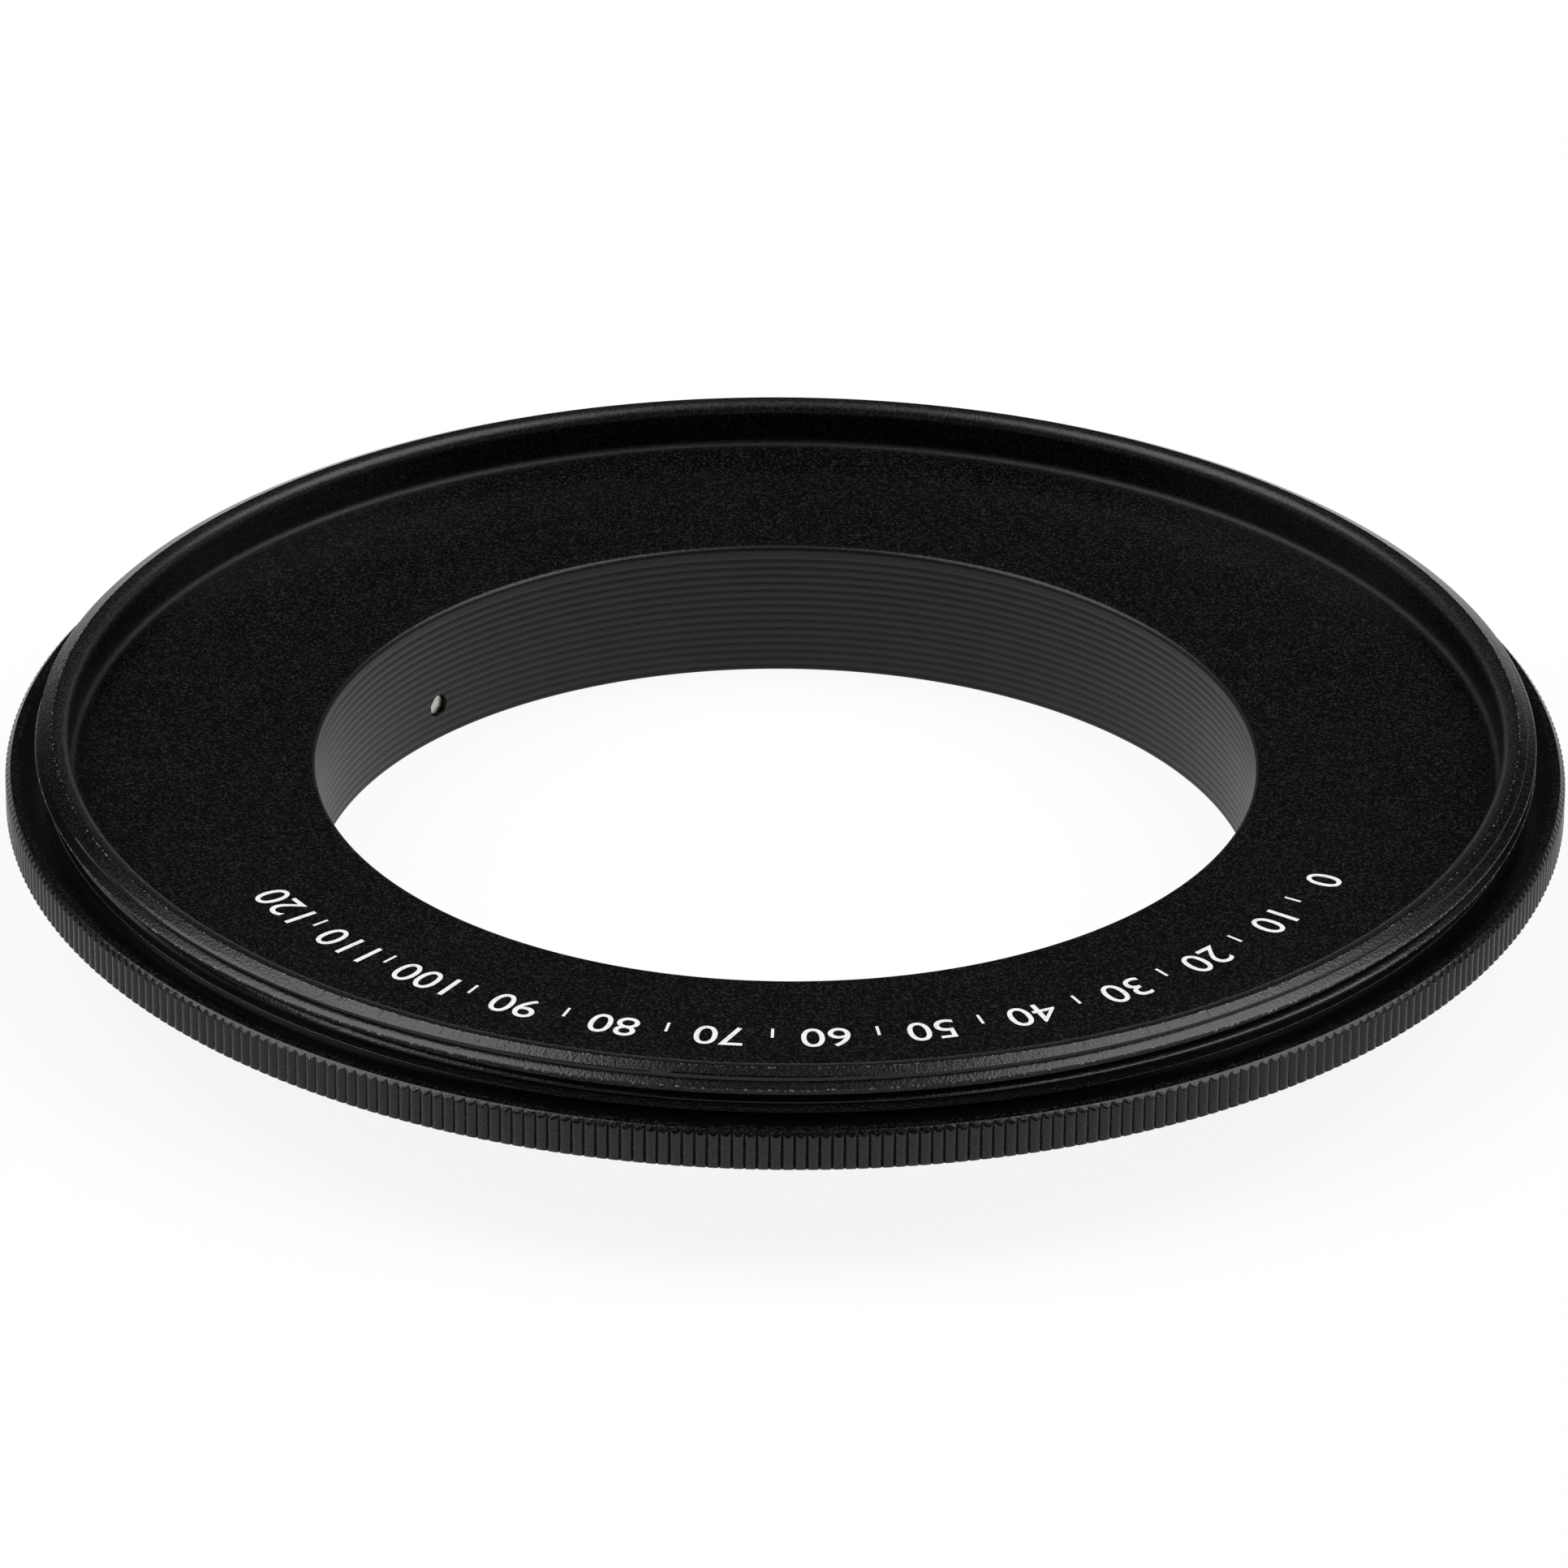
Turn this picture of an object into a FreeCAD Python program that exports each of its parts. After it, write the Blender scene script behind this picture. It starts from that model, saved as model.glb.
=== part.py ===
import FreeCAD, Part
import math
import os
import re
import Sketcher
from FreeCAD import Placement, Rotation, Vector

# Reversing ring for close-up work. The side with the male filter thread faces up (+Z) and the
# lens-type bayonet faces down. The origin is on the optical axis at the end of the bayonet tube.
# All sizes are in millimetres and all angles in degrees.

SIZES = [
    ("BoreDiameter", 48.3, "clear bore through the tube and the web"),
    ("TubeWall", 1.15, "wall of the bayonet tube"),
    ("TubeLength", 5.06, "from the seat face to the tube's end"),
    ("LugReach", 1.5, "how far a lug stands out of the tube"),
    ("LugBottom", 1.2, "from the tube's end to the lugs"),
    ("LugThickness", 1.4, "thickness of a lug along the axis"),
    ("LugRamp", 0.35, "lead-in bevel on the lugs"),
    ("LugWide", 52.0, "angle of the lug beside the stop pin"),
    ("LugMiddle", 47.0, "angle of the second lug"),
    ("LugNarrow", 42.0, "angle of the third lug"),
    ("LugStep", 120.0, "angle from one lug's centre to the next"),
    ("SeatGap", 0.4, "relief between the lugs' reach and the seat ring"),
    ("SeatWidth", 4.6, "radial width of the seat ring"),
    ("SeatRise", 0.34, "how far the seat ring stands below the flange"),
    ("WebThickness", 1.95, "web between the flange's under side and the floor"),
    ("GripHeight", 2.08, "height of the knurled grip"),
    ("GripStep", 1.55, "how far the grip stands out past the thread"),
    ("BandHeight", 0.27, "height of the plain band over the knurl"),
    ("BandInset", 0.03, "how far the plain band stays inside the valleys"),
    ("BandBevel", 0.12, "bevel along the top of the plain band"),
    ("ThreadDiameter", 76.9, "outside of the male filter thread"),
    ("ThreadLength", 1.53, "threaded land with its lead-in"),
    ("ThreadLeadHeight", 0.43, "height of the lead-in bevel at the rim"),
    ("ThreadLeadDepth", 0.88, "depth of the lead-in bevel at the rim"),
    ("NeckHeight", 0.75, "run-out neck under the thread"),
    ("NeckDepth", 0.45, "depth of the run-out neck"),
    ("RimWall", 1.75, "wall between the thread and the recess"),
    ("RimRound", 0.6, "rounded inner edge of the rim"),
    ("FloorBevel", 0.38, "bevel where the rim meets the floor"),
    ("BoreBevel", 0.3, "bevelled edge between floor and bore"),
    ("EdgeBreak", 0.1, "small bevels on the turned edges"),
    ("RidgeCount", 412.0, "number of ridges of the knurl"),
    ("ValleyDepth", 0.18, "depth of a valley of the knurl"),
    ("ValleyWidth", 0.26, "width of a valley at the outside"),
    ("KnurlRoot", 0.5, "how deep the knurled sleeve is rooted in the flange"),
    ("PinDiameter", 1.2, "stop pin"),
    ("PinClearance", 0.01, "radial play of the pin in its hole"),
    ("PinHeight", 1.95, "from the tube's end to the pin's axis"),
    ("PinAngle", 139.4, "direction of the pin about the axis"),
    ("PinSink", 0.25, "how far the pin's inner end lies below the bore"),
    ("PinShort", 0.2, "how far the pin stays inside the lugs' reach"),
    ("PinBevel", 0.12, "bevel on both ends of the pin"),
    ("PinGap", 0.6, "gap between the pin and the end of its lug"),
    ("SlotLength", 3.0, "lock slot, along the radius"),
    ("SlotWidth", 2.4, "lock slot, across the radius"),
    ("SlotDepth", 1.4, "lock slot, up from the seat face"),
    ("SlotAngle", 20.0, "direction of the lock slot about the axis"),
    ("DimpleDiameter", 2.4, "index mark drilled in the camera side"),
    ("DimpleDepth", 0.4, "index mark, depth"),
    ("DimpleInset", 3.4, "index mark, in from the grip's edge"),
]


def size_sheet(document):
    """The driving sizes: one row each, with the name, the value and what it is for."""
    sheet = document.addObject("Spreadsheet::Sheet", "Sizes")
    for row, (alias, value, purpose) in enumerate(SIZES, start=1):
        sheet.set(f"A{row}", alias)
        sheet.set(f"B{row}", str(value))
        sheet.set(f"C{row}", purpose)
        sheet.setAlias(f"B{row}", alias)
    document.recompute()
    return sheet


CLOSE = 1e-4
doc = FreeCAD.newDocument("reversing_ring")
sizes = size_sheet(doc)


def formula(text):
    """A formula of aliases as the document reads it: every alias starts with a capital."""
    return re.sub(r"\b([A-Z]\w*)", r"Sizes.\1", text)


def value(text):
    """The number that a formula of aliases gives now."""
    return float(sizes.evalExpression(formula(text)))


def plane_of(body, role):
    """One of the body's own origin planes or axes, found by its role."""
    return next(item for item in body.Origin.OriginFeatures if item.Role == role)


def new_body(label):
    body = doc.addObject("PartDesign::Body", label)
    body.Label = label
    return body


def new_sketch(body, name, role, lift="0", turn="0"):
    """An empty sketch on a plane of the body, turned about +Z and then lifted along its normal."""
    sketch = body.newObject("Sketcher::SketchObject", name)
    sketch.AttachmentSupport = (plane_of(body, role), "")
    sketch.MapMode = "FlatFace"
    if role == "XY_Plane":
        spin, shift = Vector(0, 0, 1), {"z": f"({lift})"}
    else:
        spin = Vector(0, 1, 0)
        shift = {"x": f"({lift}) * sin({turn})", "z": f"({lift}) * cos({turn})"}
    sketch.AttachmentOffset = Placement(Vector(), Rotation(spin, value(turn)))
    sketch.setExpression("AttachmentOffset.Rotation.Angle", formula(turn))
    for axis, text in shift.items():
        sketch.setExpression(f"AttachmentOffset.Base.{axis}", formula(text))
    return sketch


def hold_point(sketch, index, point, name, across, up):
    """Tie one point of the sketch to two formulas, its distances from the sketch's origin."""
    for kind, text, suffix in (("DistanceX", across, "across"), ("DistanceY", up, "up")):
        label = f"{name}_{suffix}"
        number = sketch.addConstraint(Sketcher.Constraint(kind, index, point, value(text)))
        sketch.renameConstraint(number, label)
        sketch.setExpression(f"Constraints.{label}", formula(text))


def outline(sketch, corners):
    """A closed outline of straight lines through named corners, each given by two formulas."""
    places = [Vector(value(across), value(up), 0) for _, across, up in corners]
    for start, end in zip(places, places[1:] + places[:1]):
        sketch.addGeometry(Part.LineSegment(start, end), False)
    for index, (name, across, up) in enumerate(corners):
        after = (index + 1) % len(corners)
        sketch.addConstraint(Sketcher.Constraint("Coincident", index, 2, after, 1))
        hold_point(sketch, index, 1, name, across, up)


def circle(sketch, name, diameter, across="0", up="0"):
    """A circle of a given diameter about a point given by two formulas."""
    centre = Vector(value(across), value(up), 0)
    index = sketch.addGeometry(Part.Circle(centre, Vector(0, 0, 1), value(diameter) / 2), False)
    number = sketch.addConstraint(Sketcher.Constraint("Diameter", index, value(diameter)))
    sketch.renameConstraint(number, f"{name}_size")
    sketch.setExpression(f"Constraints.{name}_size", formula(diameter))
    hold_point(sketch, index, 3, name, across, up)


def feature(body, kind, name, profile, **settings):
    """A PartDesign feature on a sketch. Settings given as text are formulas."""
    item = body.newObject("PartDesign::" + kind, name)
    item.Profile = profile
    for key, setting in settings.items():
        if isinstance(setting, str):
            item.setExpression(key, formula(setting))
        else:
            setattr(item, key, setting)
    doc.recompute()
    return item


def must_cut(body, before, name):
    """A cut that points away from the solid changes nothing, so the volume has to fall."""
    if body.Shape.Volume > before - CLOSE:
        raise RuntimeError(name + " cut nothing")


def ring_edges(shape, radius, height):
    """Names of the circular edges about the axis with this radius at this height."""
    names = []
    for number, edge in enumerate(shape.Edges, start=1):
        curve = edge.Curve
        if isinstance(curve, Part.Circle) and abs(curve.Radius - radius) < CLOSE:
            on_axis = abs(curve.Center.x) + abs(curve.Center.y) < CLOSE
            if on_axis and abs(curve.Center.z - height) < CLOSE:
                names.append(f"Edge{number}")
    return names


# Radii, from the bore outwards.
BORE = "BoreDiameter / 2"
TUBE = BORE + " + TubeWall"
LUG = TUBE + " + LugReach"
SEAT_INNER = LUG + " + SeatGap"
SEAT_OUTER = SEAT_INNER + " + SeatWidth"
THREAD = "ThreadDiameter / 2"
NECK = THREAD + " - NeckDepth"
RECESS = THREAD + " - RimWall"
GRIP = THREAD + " + GripStep"
BAND = GRIP + " - ValleyDepth - BandInset"

# Heights, from the tube's end upwards.
SEAT = "TubeLength"
UNDER = SEAT + " + SeatRise"
FLOOR = UNDER + " + WebThickness"
SHOULDER = UNDER + " + GripHeight"
LAND = SHOULDER + " + NeckHeight"
RIM = LAND + " + ThreadLength"


def turned_blank(body):
    """The ring's section, turned about the axis, with the rim's inner edge rounded."""
    section = new_sketch(body, "ring_section", "XZ_Plane")
    outline(section, [
        ("tube_foot_inner", BORE + " + EdgeBreak", "0"),
        ("tube_foot_outer", TUBE + " - EdgeBreak", "0"),
        ("tube_edge", TUBE, "EdgeBreak"),
        ("tube_root", TUBE, UNDER),
        ("relief_root", SEAT_INNER, UNDER),
        ("seat_inner", SEAT_INNER, SEAT),
        ("seat_outer", SEAT_OUTER, SEAT),
        ("seat_root", SEAT_OUTER, UNDER),
        ("flange_foot", BAND, UNDER),
        ("band_edge", BAND, SHOULDER + " - BandBevel"),
        ("band_top", BAND + " - BandBevel", SHOULDER),
        ("neck_root", NECK, SHOULDER),
        ("neck_top", NECK, LAND + " - NeckDepth / 2"),
        ("land_foot", THREAD, LAND),
        ("land_top", THREAD, RIM + " - ThreadLeadHeight"),
        ("rim_outer", THREAD + " - ThreadLeadDepth", RIM),
        ("rim_inner", RECESS, RIM),
        ("wall_foot", RECESS, FLOOR + " + FloorBevel"),
        ("floor_outer", RECESS + " - FloorBevel", FLOOR),
        ("floor_inner", BORE + " + BoreBevel", FLOOR),
        ("bore_top", BORE, FLOOR + " - BoreBevel"),
        ("bore_foot", BORE, "EdgeBreak"),
    ])
    blank = feature(body, "Revolution", "turned_blank", section, Angle=360.0)
    blank.ReferenceAxis = (section, ["V_Axis"])
    doc.recompute()
    rounding = body.newObject("PartDesign::Fillet", "rim_round")
    rounding.Base = (blank, ring_edges(blank.Shape, value(RECESS), value(RIM)))
    rounding.setExpression("Radius", formula("RimRound"))
    doc.recompute()


def bayonet_lug(body, name, span, turn):
    """One lug: its section, bevelled at the leading edge, swept about the axis over its span."""
    section = new_sketch(body, name + "_section", "XZ_Plane", turn=turn)
    top = "LugBottom + LugThickness"
    outline(section, [
        ("wall_bottom", TUBE + " - TubeWall / 2", "LugBottom"),
        ("ramp_inner", LUG + " - LugRamp", "LugBottom"),
        ("ramp_outer", LUG, "LugBottom + LugRamp"),
        ("tip_top", LUG, top),
        ("wall_top", TUBE + " - TubeWall / 2", top),
    ])
    lug = feature(body, "Revolution", name, section, Angle=span, Midplane=True)
    lug.ReferenceAxis = (section, ["V_Axis"])
    doc.recompute()


PIN_SIDE = f"PinAngle - (PinDiameter / 2 + PinGap) / ({LUG}) * 180 / pi"
LUG_CENTRE = f"({PIN_SIDE}) - LugWide / 2"


def bayonet(body):
    """Three lugs of unequal span. The widest ends beside the stop pin."""
    for step, (name, span) in enumerate((("lug_wide", "LugWide"),
                                         ("lug_middle", "LugMiddle"),
                                         ("lug_narrow", "LugNarrow"))):
        bayonet_lug(body, name, span, f"{LUG_CENTRE} + {step} * LugStep")


def lock_slot(body):
    """A round-ended slot in the seat ring, where the camera's lock pin drops in."""
    sketch = new_sketch(body, "lock_slot_outline", "XY_Plane", lift=SEAT, turn="SlotAngle")
    middle = SEAT_INNER + " + SeatWidth / 2"
    reach = "(SlotLength - SlotWidth) / 2"
    radius = value("SlotWidth") / 2
    left = Vector(value(f"{middle} - {reach}"), 0, 0)
    right = Vector(value(f"{middle} + {reach}"), 0, 0)
    side = Vector(0, radius, 0)
    end = Vector(radius, 0, 0)
    sketch.addGeometry([
        Part.LineSegment(left - side, right - side),
        Part.Arc(right - side, right + end, right + side),
        Part.LineSegment(right + side, left + side),
        Part.Arc(left + side, left - end, left - side),
    ], False)
    for first, last, after, start in ((0, 2, 1, 1), (1, 2, 2, 1), (2, 2, 3, 1), (3, 2, 0, 1)):
        sketch.addConstraint(Sketcher.Constraint("Tangent", first, last, after, start))
    size = sketch.addConstraint(Sketcher.Constraint("Radius", 1, radius))
    sketch.renameConstraint(size, "end_radius")
    sketch.setExpression("Constraints.end_radius", formula("SlotWidth / 2"))
    hold_point(sketch, 1, 3, "outer_end", f"{middle} + {reach}", "0")
    hold_point(sketch, 3, 3, "inner_end", f"{middle} - {reach}", "0")
    before = body.Shape.Volume
    feature(body, "Pocket", "lock_slot", sketch, Length="SlotDepth", Reversed=True)
    must_cut(body, before, "lock_slot")


def index_dimple(body):
    """The shallow round index mark on the camera side, in line with the widest lug."""
    sketch = new_sketch(body, "index_outline", "XY_Plane", lift=UNDER, turn=LUG_CENTRE)
    circle(sketch, "dimple", "DimpleDiameter", GRIP + " - DimpleInset")
    before = body.Shape.Volume
    feature(body, "Pocket", "index_dimple", sketch, Length="DimpleDepth", Reversed=True)
    must_cut(body, before, "index_dimple")


def pin_hole(body):
    """The stop pin's hole, drilled outwards through the tube's wall."""
    sketch = new_sketch(body, "pin_hole_outline", "YZ_Plane", turn="PinAngle")
    circle(sketch, "hole", "PinDiameter + 2 * PinClearance", up="PinHeight")
    before = body.Shape.Volume
    feature(body, "Pocket", "pin_hole", sketch, Length=LUG, Reversed=True)
    must_cut(body, before, "pin_hole")


def polar(radius, angle):
    return Vector(radius * math.cos(angle), radius * math.sin(angle), 0)


def knurl_sleeve():
    """The straight knurl: a sleeve whose outline has flat lands with a V valley between them."""
    count = round(value("RidgeCount"))
    outside = value(GRIP)
    half_valley = math.asin(value("ValleyWidth / 2") / outside)
    pitch = 2 * math.pi / count
    corners = []
    for middle in (ridge * pitch for ridge in range(count)):
        corners += [polar(outside - value("ValleyDepth"), middle),
                    polar(outside, middle + half_valley),
                    polar(outside, middle + pitch - half_valley)]
    rim = Part.makePolygon(corners + corners[:1])
    root = Part.Wire(Part.makeCircle(value(BAND + " - KnurlRoot")))
    face = doc.addObject("Part::Feature", "knurl_outline")
    face.Shape = Part.makeFace([rim, root], "Part::FaceMakerBullseye")
    face.Placement = Placement(Vector(0, 0, value(UNDER)), Rotation())
    sleeve = doc.addObject("Part::Extrusion", "knurl_sleeve")
    sleeve.Base = face
    sleeve.Dir = Vector(0, 0, 1)
    sleeve.DirMode = "Custom"
    sleeve.Solid = True
    sleeve.setExpression("LengthFwd", formula("GripHeight - BandHeight"))
    return sleeve


def ring_body():
    """The ring, turned and milled from one blank, with the knurl on its flange."""
    blank = new_body("ring_blank")
    turned_blank(blank)
    bayonet(blank)
    lock_slot(blank)
    index_dimple(blank)
    pin_hole(blank)
    ring = doc.addObject("Part::Fuse", "ring_body")
    ring.Base = blank
    ring.Tool = knurl_sleeve()
    ring.Refine = True
    ring.Label = "ring_body"
    doc.recompute()
    return ring


def stop_pin():
    """The steel pin pressed through the tube's wall. It stands out beside the widest lug."""
    body = new_body("stop_pin")
    start = BORE + " + PinSink"
    sketch = new_sketch(body, "pin_outline", "YZ_Plane", lift=start, turn="PinAngle")
    circle(sketch, "pin", "PinDiameter", up="PinHeight")
    rod = feature(body, "Pad", "pin_rod", sketch, Length=f"({LUG} - PinShort) - ({start})")
    ends = [f"Edge{number}" for number, edge in enumerate(rod.Shape.Edges, start=1)
            if isinstance(edge.Curve, Part.Circle)]
    bevel = body.newObject("PartDesign::Chamfer", "pin_bevels")
    bevel.Base = (rod, ends)
    bevel.setExpression("Size", formula("PinBevel"))
    doc.recompute()
    return body


def check(document, bodies):
    """Stop if any object failed, or if a piece isn't one valid solid."""
    for item in document.Objects:
        if "Invalid" in item.State or "Error" in item.State:
            raise RuntimeError(f"{item.Label} failed: {item.State}")
    for body in bodies:
        shape = body.Shape
        if shape.isNull() or not shape.isValid() or len(shape.Solids) != 1:
            raise RuntimeError(f"{body.Label} isn't one valid solid")


pieces = [ring_body(), stop_pin()]
check(doc, pieces)
os.makedirs("parts", exist_ok=True)
for piece in pieces:
    piece.Shape.exportStep(f"parts/{piece.Label}.step")
    box = piece.Shape.BoundBox
    print(piece.Label, f"{piece.Shape.Volume:.1f} mm3", len(piece.Shape.Faces), "faces,",
          f"{box.XLength:.2f} x {box.YLength:.2f} x {box.ZLength:.2f}")
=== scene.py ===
"""Macro reverse ring: the black anodised ring with its knurled grip, male filter thread and
bayonet, the stop pin, the white scale on the front face and the index mark at the back."""

from math import cos, pi, radians, sin

import bmesh
import bpy
import numpy as np
from bpy.props import FloatProperty, FloatVectorProperty, IntProperty, PointerProperty
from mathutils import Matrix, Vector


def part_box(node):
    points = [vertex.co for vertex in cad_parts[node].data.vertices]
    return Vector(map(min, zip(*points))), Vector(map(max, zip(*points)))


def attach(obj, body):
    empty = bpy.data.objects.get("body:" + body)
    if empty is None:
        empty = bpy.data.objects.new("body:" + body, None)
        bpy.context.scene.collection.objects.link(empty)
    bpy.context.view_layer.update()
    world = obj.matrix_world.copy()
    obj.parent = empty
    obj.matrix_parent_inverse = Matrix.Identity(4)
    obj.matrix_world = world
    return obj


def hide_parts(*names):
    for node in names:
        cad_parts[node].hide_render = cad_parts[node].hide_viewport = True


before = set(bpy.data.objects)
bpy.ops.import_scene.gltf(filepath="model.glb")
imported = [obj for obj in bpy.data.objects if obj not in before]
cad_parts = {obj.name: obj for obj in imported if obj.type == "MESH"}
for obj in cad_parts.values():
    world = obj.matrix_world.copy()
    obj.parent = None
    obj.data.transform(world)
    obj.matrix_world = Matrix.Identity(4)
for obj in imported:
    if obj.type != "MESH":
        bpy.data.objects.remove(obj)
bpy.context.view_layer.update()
RING_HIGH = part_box("ring_body")[1]

bl_info = {
    "name": "Macro reverse ring",
    "version": (1, 0, 0),
    "blender": (4, 5, 0),
    "location": "3D View > Sidebar > Ring",
    "description": "Builds a lens reversing ring piece by piece on its CAD frame",
    "category": "Object",
}

MM = 0.001
# The photograph's width and the fitted focal length, both in pixels, and the sensor in mm.
PHOTO_WIDTH, FOCAL_PIXELS, SENSOR = 1932, 13727.15, 36.0


# Sizes and colours


def length(name, millimetres, use):
    """A length that the user can change, given here in millimetres."""
    return FloatProperty(name=name, description=use, default=millimetres * MM,
                         unit="LENGTH", precision=5)


def angle(name, degrees, use):
    """An angle that the user can change, given here in degrees."""
    return FloatProperty(name=name, description=use, default=radians(degrees),
                         unit="ROTATION")


def colour(name, linear, use):
    """A colour that the user can change, as linear red, green and blue."""
    return FloatVectorProperty(name=name, description=use, default=linear, size=3,
                               subtype="COLOR", min=0.0, max=1.0)


class TurnedSizes(bpy.types.PropertyGroup):
    """The turned section of the ring."""

    outside: FloatProperty(name="Outside radius", description="over the knurled grip",
                           default=RING_HIGH[0], unit="LENGTH", precision=5)
    rim: FloatProperty(name="Rim height", description="from the tube's end to the rim",
                       default=RING_HIGH[2], unit="LENGTH", precision=5)
    bore: length("Bore radius", 24.15, "clear bore through the tube and the web")
    tube: length("Tube radius", 25.3, "outside of the bayonet tube")
    seat_inner: length("Seat inner radius", 27.2, "seat ring, inside")
    seat_outer: length("Seat outer radius", 31.8, "seat ring, outside")
    seat: length("Seat height", 5.06, "seat face above the tube's end")
    under: length("Underside height", 5.40, "the flange's under side")
    front: length("Front face height", 7.35, "the printed face between bore and rim")
    shoulder: length("Shoulder height", 7.48, "the flange's top beside the thread")
    core: length("Core radius", 38.0, "root of the thread, and the neck under it")
    recess: length("Recess radius", 36.7, "inside of the rim")
    rim_round: length("Rim round", 0.6, "rounded inner edge of the rim")
    rim_outer: length("Rim flat", 37.57, "outer radius of the rim's flat top")
    lead_foot: length("Lead-in foot", 9.33, "where the lead-in cone meets the crests")
    foot_round: length("Foot round", 0.3, "hollow where the rim meets the front face")
    bore_round: length("Bore edge", 0.3, "rounded edge between front face and bore")
    edge: length("Edge break", 0.1, "broken edges of the tube and the seat")
    soft: length("Soft edge", 0.035, "the blasted edge left on every other corner")
    join: length("Join radius", 39.2, "where the turned part meets the knurled part")
    grooves: IntProperty(name="Bore grooves", description="fine grooves against glare",
                         default=15, min=0)
    groove_top: length("First groove", 6.59, "height of the uppermost groove")
    groove_pitch: length("Groove pitch", 0.448, "from one groove to the next")
    groove_width: length("Groove width", 0.33, "width of a groove at the bore")
    groove_depth: length("Groove depth", 0.035, "depth of a groove")


class GripSizes(bpy.types.PropertyGroup):
    """The straight knurl round the flange."""

    ridges: IntProperty(name="Ridges", description="ridges round the grip, an even number",
                        default=412, min=8)
    valley_depth: length("Valley depth", 0.18, "depth of a valley")
    valley_width: length("Valley width", 0.12, "width of a valley at the outside")
    crown: length("Crown", 0.11, "how much a ridge's middle stands out past its edges")
    bevel: length("Grip bevel", 0.27, "bevel between the grip and the shoulder")


class ThreadSizes(bpy.types.PropertyGroup):
    """The male filter thread."""

    crest: length("Crest radius", 38.45, "outside of the thread")
    pitch: length("Pitch", 0.75, "rise of one turn")
    middle_crest: length("Crest height", 8.97, "height of the crest at minus 90 degrees")
    crest_flat: length("Crest flat", 0.094, "width of the crest")
    root_flat: length("Root flat", 0.188, "width of the root")
    turns: FloatProperty(name="Turns", description="turns of the ridge", default=2.6, min=0.5)
    fade: FloatProperty(name="Run-out", description="turns over which the ridge runs out",
                        default=0.55, min=0.01)


class MountSizes(bpy.types.PropertyGroup):
    """The bayonet, the lock slot and the index mark."""

    lug_radius: length("Lug radius", 26.8, "outside of the lugs")
    lug_bottom: length("Lug bottom", 1.2, "the lugs' under side above the tube's end")
    lug_top: length("Lug top", 2.6, "the lugs' upper side above the tube's end")
    lug_ramp: length("Lug ramp", 0.35, "lead-in bevel of the lugs")
    lug_root: length("Lug root", 24.73, "where a lug starts inside the tube's wall")
    lug_centre: angle("Wide lug", 110.83, "direction of the widest lug")
    lug_spans: FloatVectorProperty(name="Lug spans", description="angles of the three lugs",
                                   default=(radians(52), radians(47), radians(42)), size=3)
    slot_centre: length("Slot radius", 29.5, "middle of the lock slot")
    slot_length: length("Slot length", 3.0, "along the radius")
    slot_width: length("Slot width", 2.4, "across the radius")
    slot_depth: length("Slot depth", 1.4, "up from the seat face")
    slot_angle: angle("Slot direction", 20.0, "direction of the lock slot")
    index_radius: length("Index radius", 36.6, "place of the index mark on the under side")
    index_width: length("Index width", 2.4, "diameter of the index mark")
    index_depth: length("Index depth", 0.4, "depth of the index mark")
    paint_depth: length("Paint depth", 0.12, "how far the paint lies below the under side")


class PinSizes(bpy.types.PropertyGroup):
    """The stop pin in the tube's wall."""

    radius: length("Pin radius", 0.6, "of the stop pin")
    play: length("Play", 0.01, "between the pin and its hole")
    height: length("Pin height", 1.95, "the pin's axis above the tube's end")
    direction: angle("Pin direction", 139.4, "about the ring's axis")
    inner: length("Inner end", 24.40, "radius of the pin's inner end")
    outer: length("Outer end", 26.60, "radius of the pin's outer end")
    bevel: length("Pin bevel", 0.12, "rounded ends of the pin")


class ScaleSizes(bpy.types.PropertyGroup):
    """The white scale printed on the front face: plain numbers and short ticks."""

    start: angle("First number", -26.0, "direction of the first number")
    step: angle("Step", 10.0, "from one number to the next, clockwise")
    numbers: IntProperty(name="Numbers", description="how many numbers", default=13, min=1)
    value_step: IntProperty(name="Count by", description="from one number to the next",
                            default=10)
    foot: length("Foot radius", 29.3, "inner end of the numbers and ticks")
    digit: length("Digit height", 1.85, "height of the numbers")
    tick: length("Tick length", 0.9, "length of a tick")
    tick_width: length("Tick width", 0.15, "width of a tick")
    ticks: IntProperty(name="Ticks", description="ticks between two numbers", default=1)
    ink: length("Ink", 0.012, "thickness of the ink")


class Finishes(bpy.types.PropertyGroup):
    """Colours of the finishes."""

    anodised: colour("Anodised black", (0.0006, 0.0006, 0.00062), "blasted and anodised ring")
    # The paler specks are painted glints of the blasted grain, put into the base colour.
    anodised_glint: colour("Anodised speck", (0.021, 0.021, 0.021), "its paler specks")
    # The dots are painted highlights along the edges.
    edge_glint: colour("Rubbed edge", (0.22, 0.22, 0.22), "dots along its edges")
    steel: colour("Steel", (0.56, 0.54, 0.51), "stop pin")
    ink: colour("White ink", (0.78, 0.78, 0.77), "scale")
    paint: colour("Index red", (0.55, 0.02, 0.015), "index mark")
    floor: colour("Floor", (0.8, 0.8, 0.8), "pale floor")


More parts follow.
